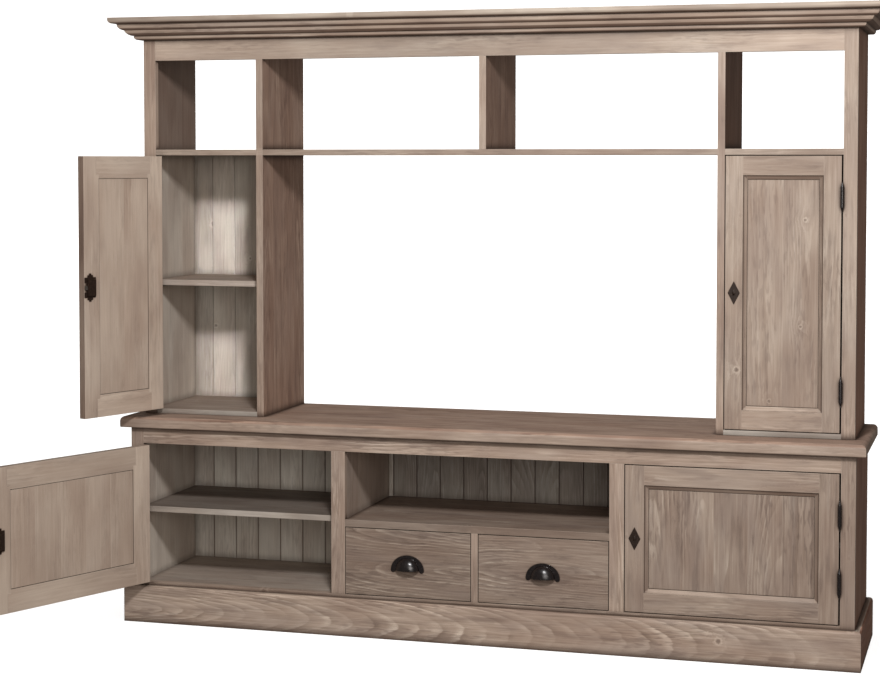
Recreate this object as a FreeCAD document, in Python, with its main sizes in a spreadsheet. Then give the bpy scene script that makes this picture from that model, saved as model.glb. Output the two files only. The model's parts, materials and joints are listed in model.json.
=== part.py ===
"""Pine television cabinet: a low base with doors, drawers and a niche, and a hutch standing on it.

Millimetres, +X to the right, +Y to the back, +Z up.
The origin lies on the floor, in the middle of the plinth's footprint.
"""
import FreeCAD, Part
import Sketcher
import os

document = FreeCAD.newDocument("tv_cabinet")
sheet = document.addObject("Spreadsheet::Sheet", "Sizes")

SIZES = {
    # base cabinet
    "base_width": 2266,
    "base_depth": 460,
    "base_height": 621,
    "base_side_board": 24,
    "base_bottom_board": 18,
    "base_floor_level": 122,
    "partition_board": 18,
    "frame_board": 22,
    "outer_stile_width": 42,
    "inner_stile_width": 44.5,
    "top_rail_height": 50.5,
    "bottom_rail_height": 68,
    "bottom_rail_top": 127.5,
    "niche_width": 830,
    "drawer_opening_height": 210.5,
    "niche_shelf_board": 22,
    "drawer_stile_width": 21,
    "bay_shelf_level": 363,
    "bay_shelf_setback": 16,
    # plinth
    "plinth_height": 117,
    "plinth_board": 20,
    "plinth_edge_radius": 10,
    "plinth_rail_board": 22,
    # top board of the base
    "top_board": 35,
    "top_board_side_overhang": 29.5,
    "top_board_front_overhang": 21,
    "top_board_upper_radius": 14,
    "top_board_lower_radius": 4,
    # boarded backs
    "back_board": 10,
    "back_board_width": 80,
    "back_board_groove": 2.5,
    "back_tongue_depth": 5,
    "back_tongue_board": 3,
    # hutch
    "hutch_side_inset": 10.5,
    "hutch_setback": 88,
    "hutch_side_board": 18,
    "hutch_stile_width": 40,
    "divider_board": 22,
    "cabinet_width": 365.5,
    "tv_bay_height": 828.4,
    "open_row_height": 283.6,
    "frieze_height": 116,
    "shelf_board": 18,
    "cabinet_bottom_board": 15,
    "cabinet_shelf_level": 410,
    "cabinet_shelf_setback": 18,
    "hutch_top_board": 18,
    # crown moulding
    "crown_overhang": 86,
    "crown_height": 68,
    # shelf pins
    "pin_radius": 3,
    "pin_length": 22,
    "pin_inset": 45,
    "pin_hole_depth": 9,
    # doors
    "door_board": 24,
    "door_gap": 3,
    "hinge_gap": 5,
    "upper_stile_width": 51,
    "upper_rail_width": 57,
    "lower_stile_width": 57,
    "lower_rail_width": 58,
    "sticking_width": 12,
    "sticking_depth": 8,
    "sticking_step": 1.5,
    "panel_setback": 1,
    "panel_back_setback": 0.8,
    "panel_clearance": 1.5,
    "panel_tongue_board": 6,
    "panel_tongue_length": 7,
    "panel_tongue_setback": 11,
    "tenon_board": 8,
    "tenon_length": 26,
    "tenon_shoulder": 8,
    "tenon_setback": 10,
    # hinges
    "hinge_inset": 120,
    "barrel_radius": 5.5,
    "barrel_length": 60,
    "barrel_offset": 6,
    "knuckle_gap": 0.3,
    "hinge_pin_radius": 2.5,
    "hinge_pin_clearance": 0.05,
    "leaf_board": 1.8,
    "leaf_depth": 20,
    "finial_length": 13,
    "finial_root_radius": 5,
    "finial_neck_radius": 1.4,
    "finial_tip_radius": 2,
    # locks
    "lock_plate_width": 46,
    "lock_plate_height": 62,
    "lock_plate_board": 1.5,
    "lock_edge_inset": 1,
    "lock_step_width": 22,
    "lock_step_height": 7,
    "lock_tip_width": 9,
    "lock_tip_height": 5,
    "lock_notch_width": 7,
    "lock_notch_height": 30,
    "lock_case_width": 32,
    "lock_case_height": 50,
    "lock_case_depth": 9,
    "bolt_height": 12,
    "bolt_depth": 5,
    "bolt_clearance": 0.3,
    "bolt_travel": 8,
    "bolt_length": 26,
    "keyhole_radius": 2.6,
    "keyhole_slot_width": 3,
    "keyhole_slot_length": 8,
    "escutcheon_width": 35,
    "escutcheon_height": 68,
    "escutcheon_board": 2,
    "escutcheon_bevel": 0.8,
    "keyhole_boss_width": 12,
    "keyhole_boss_height": 23,
    "keyhole_boss_rise": 1.2,
    # drawers
    "drawer_gap": 2.5,
    "drawer_side_gap": 10,
    "drawer_side_board": 12,
    "drawer_box_height": 140,
    "drawer_back_drop": 15,
    "drawer_back_gap": 48,
    "drawer_bottom_board": 6,
    "drawer_bottom_rise": 9,
    "drawer_groove_depth": 6,
    "runner_width": 20,
    "runner_height": 12,
    "runner_clearance": 0.3,
    # cup pulls
    "pull_width": 76,
    "pull_height": 38,
    "pull_reach": 25,
    "pull_wall": 2,
    "pull_flange_board": 2.5,
    "pull_side_margin": 14.5,
    "pull_top_margin": 7.5,
    "pull_post_radius": 4,
    "pull_screw_spacing": 44,
    "pull_screw_rise": 14,
    "pull_screw_radius": 2,
    "pull_screw_bite": 8,
    "pull_screw_head_radius": 4,
    "pull_screw_head_height": 2.5,
    # working allowances
    "overrun": 1,
    "match_tolerance": 0.01,
}

KNUCKLES = 5
UPPER_DOOR_ANGLE = 110.8
LOWER_DOOR_ANGLE = 112.6

# The crown's section, from its top outer edge down to the frieze, as outward and drop shares.
# Each run is an arc through a bend to an end, and most are followed by a flat step.
CROWN_TOP_EDGE_SHARES = ((1.0, 0.0), (1.0, 0.12))
CROWN_RUN_SHARES = (
    ((0.96, 0.22), (0.86, 0.27), (0.74, 0.28)),
    ((0.71, 0.44), (0.60, 0.55), (0.54, 0.57)),
    ((0.48, 0.70), (0.36, 0.80), (0.27, 0.82)),
    ((0.25, 0.94), (0.15, 1.0), None),
)


class Size:
    """A length that knows its value and the sheet formula that it comes from."""

    def __init__(self, formula, value):
        self.formula = formula
        self.value = value

    def __add__(self, other):
        other = as_size(other)
        return Size(f"({self.formula} + {other.formula})", self.value + other.value)

    def __sub__(self, other):
        other = as_size(other)
        return Size(f"({self.formula} - {other.formula})", self.value - other.value)

    def __neg__(self):
        return as_size(0) - self

    def __mul__(self, factor):
        return Size(f"({self.formula} * ({factor}))", self.value * factor)

    def __truediv__(self, divisor):
        return Size(f"({self.formula} / {divisor})", self.value / divisor)


def as_size(length):
    """Turn a plain zero into a Size, and leave a Size as it is."""
    return length if isinstance(length, Size) else Size(str(length), length)


class Sizes:
    """The sheet's cells, each read as a Size by its alias."""

    def __init__(self, values):
        for row, (alias, value) in enumerate(values.items(), start=1):
            sheet.set(f"A{row}", alias)
            sheet.set(f"B{row}", str(value))
            sheet.setAlias(f"B{row}", alias)
            setattr(self, alias, Size(f"Sizes.{alias}", value))


size = Sizes(SIZES)
document.recompute()

# Levels and planes that several pieces share.
frame_front = (size.plinth_board - size.base_depth) / 2
frame_back = frame_front + size.frame_board
back_plane = (size.base_depth + size.plinth_board) / 2
back_face = back_plane - size.back_board
base_half = size.base_width / 2
base_inner_half = base_half - size.base_side_board
base_stile_edge = base_half - size.outer_stile_width
niche_half = size.niche_width / 2
bay_inner = niche_half + size.partition_board
lower_opening_edge = niche_half + size.inner_stile_width
drawer_stile_half = size.drawer_stile_width / 2
bottom_underside = size.base_floor_level - size.base_bottom_board
top_rail_underside = size.base_height - size.top_rail_height
niche_shelf_underside = size.bottom_rail_top + size.drawer_opening_height
niche_shelf_top = niche_shelf_underside + size.niche_shelf_board
bay_shelf_front = frame_back + size.bay_shelf_setback
bay_shelf_underside = size.bay_shelf_level - size.shelf_board
hutch_foot = size.base_height + size.top_board
hutch_front = frame_front + size.hutch_setback
hutch_frame_back = hutch_front + size.frame_board
hutch_half = base_half - size.hutch_side_inset
hutch_inner_half = hutch_half - size.hutch_side_board
hutch_stile_edge = hutch_half - size.hutch_stile_width
divider_outer = hutch_inner_half - size.cabinet_width
divider_inner = divider_outer - size.divider_board
cabinet_floor = hutch_foot + size.cabinet_bottom_board
cabinet_shelf_front = hutch_front + size.door_board + size.cabinet_shelf_setback
cabinet_shelf_underside = hutch_foot + size.cabinet_shelf_level
middle_shelf_underside = hutch_foot + size.tv_bay_height
middle_shelf_top = middle_shelf_underside + size.shelf_board
frieze_underside = middle_shelf_top + size.open_row_height
frieze_top = frieze_underside + size.frieze_height
hutch_top = frieze_top + size.hutch_top_board

nodes = []


def bind(feature, **formulas):
    """Bind each named property of a feature to the formula of a Size."""
    for name, length in formulas.items():
        feature.setExpression(name, as_size(length).formula)
    return feature


def place(feature, x, y, z):
    """Bind the place of a feature's own origin."""
    for letter, length in zip("xyz", (x, y, z)):
        feature.setExpression(f"Placement.Base.{letter}", as_size(length).formula)
    return feature


def node(feature, label):
    """Name a finished sub-part, so that it gets a file of its own."""
    feature.Label = label
    nodes.append(feature)
    return feature


def group(parts, label):
    """Hold several separate solids under one name."""
    compound = document.addObject("Part::Compound", "group")
    compound.Links = parts
    return node(compound, label)


def ordered(span):
    """The two ends of a span, lowest first."""
    low, high = (as_size(end) for end in span)
    return (low, high) if low.value <= high.value else (high, low)


def board(x, y, z):
    """A plain board between two faces along each axis."""
    (x_low, x_high), (y_low, y_high), (z_low, z_high) = ordered(x), ordered(y), ordered(z)
    box = document.addObject("Part::Box", "board")
    bind(box, Length=x_high - x_low, Width=y_high - y_low, Height=z_high - z_low)
    return place(box, x_low, y_low, z_low)


def both_sides(x, y, z):
    """The same board on the left and on the right."""
    return [board((x[0] * side, x[1] * side), y, z) for side in (-1, 1)]


def upright(kind, x, y, z, **formulas):
    """A round primitive that stands on its centre."""
    return place(bind(document.addObject(f"Part::{kind}", "round"), **formulas), x, y, z)


def lying(radius, span, across, level, along):
    """A cylinder along X or Y over a span, at a place across it and a level."""
    low, high = ordered(span)
    x, y = (low, across) if along == "x" else (across, low)
    rod = upright("Cylinder", x, y, level, Radius=radius, Height=high - low)
    axis = FreeCAD.Vector(0, 1, 0) if along == "x" else FreeCAD.Vector(-1, 0, 0)
    rod.Placement.Rotation = FreeCAD.Rotation(axis, 90)
    return rod


def fuse(parts):
    """Join several shapes into one solid."""
    joined = document.addObject("Part::MultiFuse", "fuse")
    joined.Shapes = parts
    joined.Refine = True
    return joined


def cut(base, tools):
    """Cut one or more shapes out of a solid."""
    result = document.addObject("Part::Cut", "cut")
    result.Base = base
    result.Tool = tools[0] if len(tools) == 1 else fuse(tools)
    return result


def common(first, second):
    """The room that two solids share."""
    shared = document.addObject("Part::Common", "common")
    shared.Base = first
    shared.Tool = second
    return shared


def point(x, y, z):
    """A point from three Sizes."""
    return FreeCAD.Vector(*(as_size(length).value for length in (x, y, z)))


def prism(corners, rise):
    """A solid from a flat outline of straight edges, extruded along a vector."""
    ends = corners[1:] + corners[:1]
    edges = [Part.LineSegment(start, end).toShape() for start, end in zip(corners, ends)]
    return Part.Face(Part.Wire(edges)).extrude(rise)


def solid_feature(shape):
    """A shape made by hand, as an object of the document."""
    feature = document.addObject("Part::Feature", "solid")
    feature.Shape = shape
    return feature


def near(first, second):
    """Whether two values are the same length."""
    return abs(first - second) < size.match_tolerance.value


def skirting(inner_line, outer_line):
    """A mitred plinth length between two floor lines, its outer top edge rounded."""
    height = size.plinth_height.value
    corners = [inner_line[0], inner_line[1], outer_line[1], outer_line[0]]
    solid = prism(corners, FreeCAD.Vector(0, 0, height))

    def on_outer_top(edge):
        ends = [vertex.Point for vertex in edge.Vertexes]
        lifted = [FreeCAD.Vector(end.x, end.y, height) for end in outer_line]
        return all(min(end.distanceToPoint(corner) for corner in lifted) < size.match_tolerance.value
                   for end in ends)

    rounded = [edge for edge in solid.Edges if on_outer_top(edge)]
    return solid_feature(solid.makeFillet(size.plinth_edge_radius.value, rounded))


def plinth():
    """The skirting round the base and the rails that carry the base inside it."""
    front, outer = frame_front - size.plinth_board, base_half + size.plinth_board
    front_length = skirting((point(-base_half, frame_front, 0), point(base_half, frame_front, 0)),
                            (point(-outer, front, 0), point(outer, front, 0)))
    returns = [skirting((point(base_half * side, frame_front, 0), point(base_half * side, back_plane, 0)),
                        (point(outer * side, front, 0), point(outer * side, back_plane, 0)))
               for side in (-1, 1)]
    node(front_length, "plinth_front")
    group(returns, "plinth_returns")

    rail_front = back_plane - size.plinth_rail_board
    half_rail = size.plinth_rail_board / 2
    levels = (0, bottom_underside)
    node(board((-base_inner_half, base_inner_half), (rail_front, back_plane), levels), "plinth_back_rail")
    node(board((-half_rail, half_rail), (frame_back, rail_front), levels), "plinth_centre_rail")


def shelf_pins():
    """The pins under the loose shelves, by the wall that each is drilled into."""
    reach = size.pin_length - size.pin_hole_depth
    base = (bay_shelf_underside - size.pin_radius, bay_shelf_front)
    hutch = (cabinet_shelf_underside - size.pin_radius, cabinet_shelf_front)
    walls = {"partition": (bay_inner, 1, base), "base_side": (base_inner_half, -1, base),
             "divider": (divider_outer, 1, hutch), "hutch_side": (hutch_inner_half, -1, hutch)}
    pins = {}
    for wall, (face, inward, (level, shelf_front)) in walls.items():
        for side in (-1, 1):
            span = ((face - size.pin_hole_depth * inward) * side, (face + reach * inward) * side)
            pins[wall, side] = [lying(size.pin_radius, span, y, level, "x")
                                for y in (shelf_front + size.pin_inset, back_face - size.pin_inset)]
    group([pin for row in pins.values() for pin in row], "shelf_pins")
    return pins


def base_carcass(pins):
    """Sides, bottom, partitions, face frame, shelves and back of the base."""
    sides = both_sides((base_inner_half, base_half), (frame_back, back_plane), (0, size.base_height))
    group([cut(panel, pins["base_side", side]) for side, panel in zip((-1, 1), sides)], "base_sides")
    node(board((-base_inner_half, base_inner_half), (frame_back, back_face),
               (bottom_underside, size.base_floor_level)), "base_bottom_panel")
    partitions = both_sides((niche_half, bay_inner), (frame_back, back_face),
                            (size.base_floor_level, size.base_height))
    group([cut(panel, pins["partition", side]) for side, panel in zip((-1, 1), partitions)],
          "base_partitions")
    group(both_sides((bay_inner, base_inner_half), (bay_shelf_front, back_face),
                     (bay_shelf_underside, size.bay_shelf_level)), "bay_shelves")
    boarded_back([(-base_inner_half, base_inner_half)], (bottom_underside, size.base_height),
                 "base_back_boards")


def base_face_frame():
    """The stiles and rails across the front of the base, with the niche's shelf and the drawer divider."""
    frame = (frame_front, frame_back)
    rail_foot = size.bottom_rail_top - size.bottom_rail_height
    group(both_sides((base_stile_edge, base_half), frame, (0, size.base_height)), "base_outer_stiles")
    group(both_sides((niche_half, lower_opening_edge), frame, (size.bottom_rail_top, top_rail_underside)),
          "base_inner_stiles")
    node(board((-base_stile_edge, base_stile_edge), frame, (top_rail_underside, size.base_height)),
         "base_top_rail")
    node(board((-base_stile_edge, base_stile_edge), frame, (rail_foot, size.bottom_rail_top)),
         "base_bottom_rail")
    node(board((-niche_half, niche_half), (frame_front, back_face),
               (niche_shelf_underside, niche_shelf_top)), "niche_shelf")
    lipping = board((-drawer_stile_half, drawer_stile_half), frame,
                    (size.bottom_rail_top, niche_shelf_underside))
    divider = board((-drawer_stile_half, drawer_stile_half), (frame_back, back_face),
                    (size.base_floor_level, niche_shelf_underside))
    group([lipping, divider], "drawer_divider")


def joint_places(low, high):
    """The joints between the boards of a back, set out from the cabinet's middle, with its two ends."""
    width = size.back_board_width.value
    least = size.back_tongue_depth.value * 2
    steps = range(int(low // width), int(high // width) + 2)
    return [low] + [width * step for step in steps if low + least < width * step < high - least] + [high]


def back_plank(left, right, levels, has_groove, has_tongue):
    """One board with eased front edges at its joints, a groove on its left and a tongue on its right."""
    front, back = back_face.value, back_plane.value
    ease, reach = size.back_board_groove.value, size.back_tongue_depth.value
    middle, half = (front + back) / 2, size.back_tongue_board.value / 2
    foot, head = levels[0].value, levels[1].value
    outline = [(left + ease if has_groove else left, front), (right - ease if has_tongue else right, front)]
    if has_tongue:
        outline += [(right, front + ease), (right, middle - half), (right + reach, middle - half),
                    (right + reach, middle + half), (right, middle + half)]
    outline += [(right, back), (left, back)]
    if has_groove:
        outline += [(left, middle + half), (left + reach, middle + half), (left + reach, middle - half),
                    (left, middle - half), (left, front + ease)]
    return prism([FreeCAD.Vector(x, y, foot) for x, y in outline], FreeCAD.Vector(0, 0, head - foot))


def boarded_back(spans, levels, label):
    """Upright tongued boards that fill one or more widths."""
    planks = []
    for low, high in spans:
        joints = joint_places(low.value, high.value)
        for left, right in zip(joints, joints[1:]):
            planks.append(back_plank(left, right, levels, left > low.value, right < high.value))
    node(solid_feature(Part.makeCompound(planks)), label)


def origin_plane(body, role):
    """One of a body's own base planes."""
    return next(plane for plane in body.Origin.OriginFeatures if plane.Role == role)


def rectangle_sketch(body, width, height, level):
    """A rectangle centred over a body's XY plane, at a level."""
    sketch = body.newObject("Sketcher::SketchObject", "outline")
    sketch.AttachmentSupport = (origin_plane(body, "XY_Plane"), "")
    sketch.MapMode = "FlatFace"
    sketch.setExpression("AttachmentOffset.Base.z", level.formula)
    signs = ((-1, -1), (1, -1), (1, 1), (-1, 1))
    corners = [FreeCAD.Vector(a * width.value / 2, b * height.value / 2, 0) for a, b in signs]
    for start, end in zip(corners, corners[1:] + corners[:1]):
        sketch.addGeometry(Part.LineSegment(start, end))
    for side in range(4):
        sketch.addConstraint(Sketcher.Constraint("Coincident", side, 2, (side + 1) % 4, 1))
    for side, kind in enumerate(("Horizontal", "Vertical", "Horizontal", "Vertical")):
        sketch.addConstraint(Sketcher.Constraint(kind, side))
    sketch.addConstraint(Sketcher.Constraint("Symmetric", 0, 1, 1, 2, -1, 1))
    across = sketch.addConstraint(Sketcher.Constraint("DistanceX", 0, 1, 0, 2, width.value))
    upward = sketch.addConstraint(Sketcher.Constraint("DistanceY", 1, 1, 1, 2, height.value))
    sketch.setExpression(f"Constraints[{across}]", width.formula)
    sketch.setExpression(f"Constraints[{upward}]", height.formula)
    return sketch


def padded_board(width, depth, height, level):
    """A body with one padded rectangle that stands on a level."""
    body = document.addObject("PartDesign::Body", "body")
    pad = body.newObject("PartDesign::Pad", "pad")
    pad.Profile = rectangle_sketch(body, width, depth, level)
    bind(pad, Length=height)
    return body


def round_edges(body, radius, chosen):
    """Round those edges of a body that a test chooses."""
    document.recompute()
    names = [f"Edge{count}" for count, edge in enumerate(body.Tip.Shape.Edges, start=1) if chosen(edge)]
    fillet = body.newObject("PartDesign::Fillet", "fillet")
    fillet.Base = (fillet.BaseFeature, names)
    bind(fillet, Radius=radius)


def top_board():
    """The base's top, rounded along its front and its two ends."""
    width = size.base_width + size.top_board_side_overhang * 2
    depth = size.base_depth + size.top_board_front_overhang
    body = padded_board(width, depth, size.top_board, size.base_height)
    place(body, 0, back_plane - depth / 2, 0)
    half, front = width.value / 2, -depth.value / 2

    def outer_edge_at(level):
        """A test for the front and end edges of one face of the board."""
        def chosen(edge):
            middle = edge.CenterOfMass
            return near(middle.z, level.value) and (near(middle.y, front) or near(abs(middle.x), half))
        return chosen

    round_edges(body, size.top_board_upper_radius, outer_edge_at(hutch_foot))
    round_edges(body, size.top_board_lower_radius, outer_edge_at(size.base_height))
    node(body, "base_top_board")


def hutch_divider(side, pins):
    """A full-height divider, notched round the frieze, with the pocket that its door's bolt enters."""
    x = (divider_inner * side, divider_outer * side)
    lower = board(x, (hutch_front, back_plane), (hutch_foot, frieze_underside))
    upper = board(x, (hutch_frame_back, back_plane), (frieze_underside, frieze_top))
    level = (cabinet_floor + middle_shelf_underside) / 2
    clear = size.bolt_clearance * 2
    half_height = size.bolt_height / 2 + clear
    bolt_face = hutch_front + size.door_board + size.lock_plate_board
    pocket = board(((divider_outer + size.overrun) * side, (divider_outer - size.bolt_travel) * side),
                   (bolt_face - clear, bolt_face + size.bolt_depth + clear * 2),
                   (level - half_height, level + half_height))
    return cut(fuse([lower, upper]), [pocket] + pins)


def cabinet_board(side, levels):
    """A board between a divider and a side, notched round the stile."""
    whole = board((divider_outer * side, hutch_inner_half * side), (hutch_front, back_face), levels)
    notch = board((hutch_stile_edge * side, hutch_half * side),
                  (hutch_front - size.overrun, hutch_frame_back),
                  (levels[0] - size.overrun, levels[1] + size.overrun))
    return cut(whole, [notch])


def hutch_carcass(pins):
    """Sides, stiles, frieze, dividers, shelves, backs and top of the hutch."""
    frame = (hutch_front, hutch_frame_back)
    sides = both_sides((hutch_inner_half, hutch_half), (hutch_frame_back, back_plane),
                       (hutch_foot, frieze_top))
    group([cut(panel, pins["hutch_side", side]) for side, panel in zip((-1, 1), sides)], "hutch_sides")
    group(both_sides((hutch_stile_edge, hutch_half), frame, (hutch_foot, frieze_top)), "hutch_stiles")
    node(board((-hutch_stile_edge, hutch_stile_edge), frame, (frieze_underside, frieze_top)),
         "hutch_frieze_rail")
    node(board((-hutch_half, hutch_half), (hutch_front, back_plane), (frieze_top, hutch_top)),
         "hutch_top_panel")

    group([hutch_divider(side, pins["divider", side]) for side in (-1, 1)], "hutch_dividers")
    half = size.divider_board / 2
    lower = board((-half, half), (hutch_front, back_plane), (middle_shelf_top, frieze_underside))
    upper = board((-half, half), (hutch_frame_back, back_plane), (frieze_underside, frieze_top))
    node(fuse([lower, upper]), "hutch_centre_divider")

    shelf = (middle_shelf_underside, middle_shelf_top)
    centre = board((-divider_inner, divider_inner), (hutch_front, back_plane), shelf)
    group([cabinet_board(-1, shelf), centre, cabinet_board(1, shelf)], "hutch_middle_shelves")
    group([cabinet_board(side, (hutch_foot, cabinet_floor)) for side in (-1, 1)], "cabinet_bottoms")
    group(both_sides((divider_outer, hutch_inner_half), (cabinet_shelf_front, back_face),
                     (cabinet_shelf_underside, cabinet_shelf_underside + size.shelf_board)),
          "cabinet_shelves")
    boarded_back([(-hutch_inner_half, -divider_outer), (divider_outer, hutch_inner_half)],
                 (hutch_foot, middle_shelf_top), "cabinet_back_boards")


def crown_point(shares, x):
    """A point of the crown's section at x, from its outward and drop shares."""
    outward, drop = shares
    return point(0, hutch_front - size.crown_overhang * outward,
                 hutch_top - size.crown_height * drop) + FreeCAD.Vector(x, 0, 0)


def crown_section(x):
    """The closed section of the crown moulding in the plane at x, against the frieze's face."""
    corner, last = (crown_point(shares, x) for shares in CROWN_TOP_EDGE_SHARES)
    top_wall = crown_point((0, 0), x)
    edges = [Part.LineSegment(top_wall, corner), Part.LineSegment(corner, last)]
    for bend, end, step in CROWN_RUN_SHARES:
        edges.append(Part.Arc(last, crown_point(bend, x), crown_point(end, x)))
        last = crown_point(end, x)
        if step:
            edges.append(Part.LineSegment(last, crown_point(step, x)))
            last = crown_point(step, x)
    bottom_wall = FreeCAD.Vector(last.x, top_wall.y, last.z)
    edges += [Part.LineSegment(last, bottom_wall), Part.LineSegment(bottom_wall, top_wall)]
    return Part.Face(Part.Wire([edge.toShape() for edge in edges]))


def return_room(side):
    """The room on a return's side of a front corner's mitre plane, as deep as the cabinet."""
    reach = size.crown_overhang * 2
    x, y, z = hutch_half * side, hutch_front, hutch_top + size.overrun
    back = back_plane + size.overrun
    outline = [point(x, y, z), point(x + reach * side, y - reach, z),
               point(x + reach * side, back, z), point(x, back, z)]
    return prism(outline, point(0, 0, -(size.crown_height + size.overrun * 2)))


def cornice():
    """The crown moulding: a front length and two returns, mitred at the corners."""
    reach = (hutch_half + size.crown_overhang).value
    return_length = (back_plane - hutch_front + size.crown_overhang).value
    front = crown_section(-reach).extrude(FreeCAD.Vector(reach * 2, 0, 0))
    returns = []
    for side in (-1, 1):
        section = crown_section(0)
        section.translate(point(0, -hutch_front, 0))
        section.rotate(FreeCAD.Vector(0, 0, 0), FreeCAD.Vector(0, 0, 1), 90 * side)
        section.translate(point(hutch_half * side, back_plane, 0))
        run = section.extrude(FreeCAD.Vector(0, -return_length, 0))
        returns.append(run.common(return_room(side)))
        front = front.cut(return_room(side))
    node(solid_feature(Part.makeCompound([front] + returns)), "cornice")


class Door:
    """Where a door hangs and how large it is.

    Its pieces are set out from the hinge axis: u runs to the lock edge, v runs back from the front face.
    """

    def __init__(self, name, side, edges, front, levels, widths, angle):
        self.name = name
        self.side = side
        hinge_edge, lock_edge = edges
        self.axis_x = (hinge_edge - size.hinge_gap / 2) * side
        self.axis_y = front - size.barrel_offset
        self.foot, self.head = levels[0] + size.door_gap, levels[1] - size.door_gap
        self.start = size.hinge_gap / 2
        self.end = hinge_edge - lock_edge - size.hinge_gap / 2 - size.door_gap
        self.stile, self.rail = widths
        self.angle = angle
        self.level = (self.foot + self.head) / 2
        self.lock_u = self.end - self.stile / 2

    def x(self, u):
        """The local X of a distance from the hinge axis, which runs towards the cabinet's middle."""
        return u * -self.side

    def board(self, u, v, z):
        """A board set out on the closed door."""
        v_low, v_high = (size.barrel_offset + end for end in v)
        return board((self.x(u[0]), self.x(u[1])), (v_low, v_high), z)

    def hang(self, feature):
        """Put a finished piece on its hinge axis, opened as far as the door stands."""
        place(feature, self.axis_x, self.axis_y, 0)
        feature.Placement.Rotation = FreeCAD.Rotation(FreeCAD.Vector(0, 0, 1), self.angle * self.side)
        return feature


def recess_tool(door):
    """What the moulded recess takes out of the frame: a step, a bevel and the panel's groove."""
    stile, rail, width = door.stile, door.rail, size.sticking_width
    u = (door.start + stile, door.end - stile)
    z = (door.foot + rail, door.head - rail)
    step = door.board(u, (-size.overrun, size.sticking_step), z)
    bevel = document.addObject("Part::Wedge", "bevel")
    x_low, x_high = ordered((door.x(u[0]), door.x(u[1])))
    bind(bevel, Xmin=x_low, Xmax=x_high, X2min=x_low + width, X2max=x_high - width,
         Zmin=z[0], Zmax=z[1], Z2min=z[0] + width, Z2max=z[1] - width,
         Ymin=size.barrel_offset + size.sticking_step, Ymax=size.barrel_offset + size.sticking_depth)
    bite = width - size.panel_tongue_length
    groove = door.board((u[0] + bite, u[1] - bite),
                        (size.panel_tongue_setback, size.panel_tongue_setback + size.panel_tongue_board),
                        (z[0] + bite, z[1] - bite))
    return fuse([step, bevel, groove])


def door_rail(door, outer, inward):
    """A rail with its moulded edge and its two tenons, before the recess is cut."""
    edge = outer + door.rail * inward
    whole = (0, size.door_board)
    flat = door.board((door.start + door.stile, door.end - door.stile), whole, (outer, edge))
    moulded = door.board((door.start + door.stile + size.sticking_width,
                          door.end - door.stile - size.sticking_width),
                         whole, (edge, edge + size.sticking_width * inward))
    tenon = door.board((door.start + door.stile - size.tenon_length,
                        door.end - door.stile + size.tenon_length),
                       (size.tenon_setback, size.tenon_setback + size.tenon_board),
                       (outer + size.tenon_shoulder * inward, edge - size.tenon_shoulder * inward))
    return fuse([flat, moulded, tenon])


def keyhole_tool(door):
    """The keyhole, right through the lock stile and the plates on it."""
    span = (size.barrel_offset - size.overrun - size.escutcheon_board,
            size.barrel_offset + size.door_board + size.lock_plate_board)
    hole = lying(size.keyhole_radius, span, door.x(door.lock_u), door.level, "y")
    half = size.keyhole_slot_width / 2
    slot = board((door.x(door.lock_u) - half, door.x(door.lock_u) + half), span,
                 (door.level - size.keyhole_slot_length, door.level))
    return fuse([hole, slot])


def door_frame(door, keyhole):
    """Two stiles and two rails, mortised and tenoned, with the recess for the panel."""
    recess = recess_tool(door)
    rails = [door_rail(door, door.foot, 1), door_rail(door, door.head, -1)]
    inner = door.stile + size.sticking_width
    whole = (0, size.door_board)
    hinge_stile = door.board((door.start, door.start + inner), whole, (door.foot, door.head))
    lock_stile = door.board((door.end - inner, door.end), whole, (door.foot, door.head))
    pieces = [cut(hinge_stile, rails + [recess]), cut(lock_stile, rails + [recess, keyhole])]
    pieces += [cut(rail, [recess]) for rail in rails]
    door.hang(group(pieces, f"door_{door.name}_frame"))


def door_panel(door):
    """The flat panel, with a tongue all round that sits in the frame's groove."""
    inset = door.stile + size.sticking_width
    clear = size.panel_clearance
    rise = door.rail + size.sticking_width
    faces = (size.sticking_depth + size.panel_setback, size.door_board - size.panel_back_setback)
    field = door.board((door.start + inset + clear, door.end - inset - clear), faces,
                       (door.foot + rise + clear, door.head - rise - clear))
    grip = size.panel_tongue_length - clear
    tongue = door.board((door.start + inset - grip, door.end - inset + grip),
                        (size.panel_tongue_setback, size.panel_tongue_setback + size.panel_tongue_board),
                        (door.foot + rise - grip, door.head - rise + grip))
    door.hang(node(fuse([field, tongue]), f"door_{door.name}_panel"))


def knuckles(centre, owner):
    """The spans along the barrel of every second knuckle, from the one that belongs to its owner."""
    pitch = size.barrel_length / KNUCKLES
    foot = centre - size.barrel_length / 2
    return [(foot + pitch * count + size.knuckle_gap / 2, foot + pitch * (count + 1) - size.knuckle_gap / 2)
            for count in range(owner, KNUCKLES, 2)]


def hinge_leaf(door, centre, on_door):
    """One leaf with its knuckles, set out from the hinge axis."""
    towards = 1 if on_door else -1
    near_face = door.x(door.start) * towards
    far_face = door.x(door.start - size.leaf_board) * towards
    bore = size.hinge_pin_radius + (size.hinge_pin_clearance if on_door else 0)
    half = size.barrel_length / 2
    parts = [board((near_face, far_face), (size.barrel_offset, size.barrel_offset + size.leaf_depth),
                   (centre - half, centre + half))]
    for low, high in knuckles(centre, 1 if on_door else 0):
        parts.append(board((near_face, far_face), (0, size.barrel_offset), (low, high)))
        parts.append(upright("Cylinder", 0, 0, low, Radius=size.barrel_radius, Height=high - low))
    hole = upright("Cylinder", 0, 0, centre - half, Radius=bore, Height=size.barrel_length)
    return cut(fuse(parts), [hole])


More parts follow.
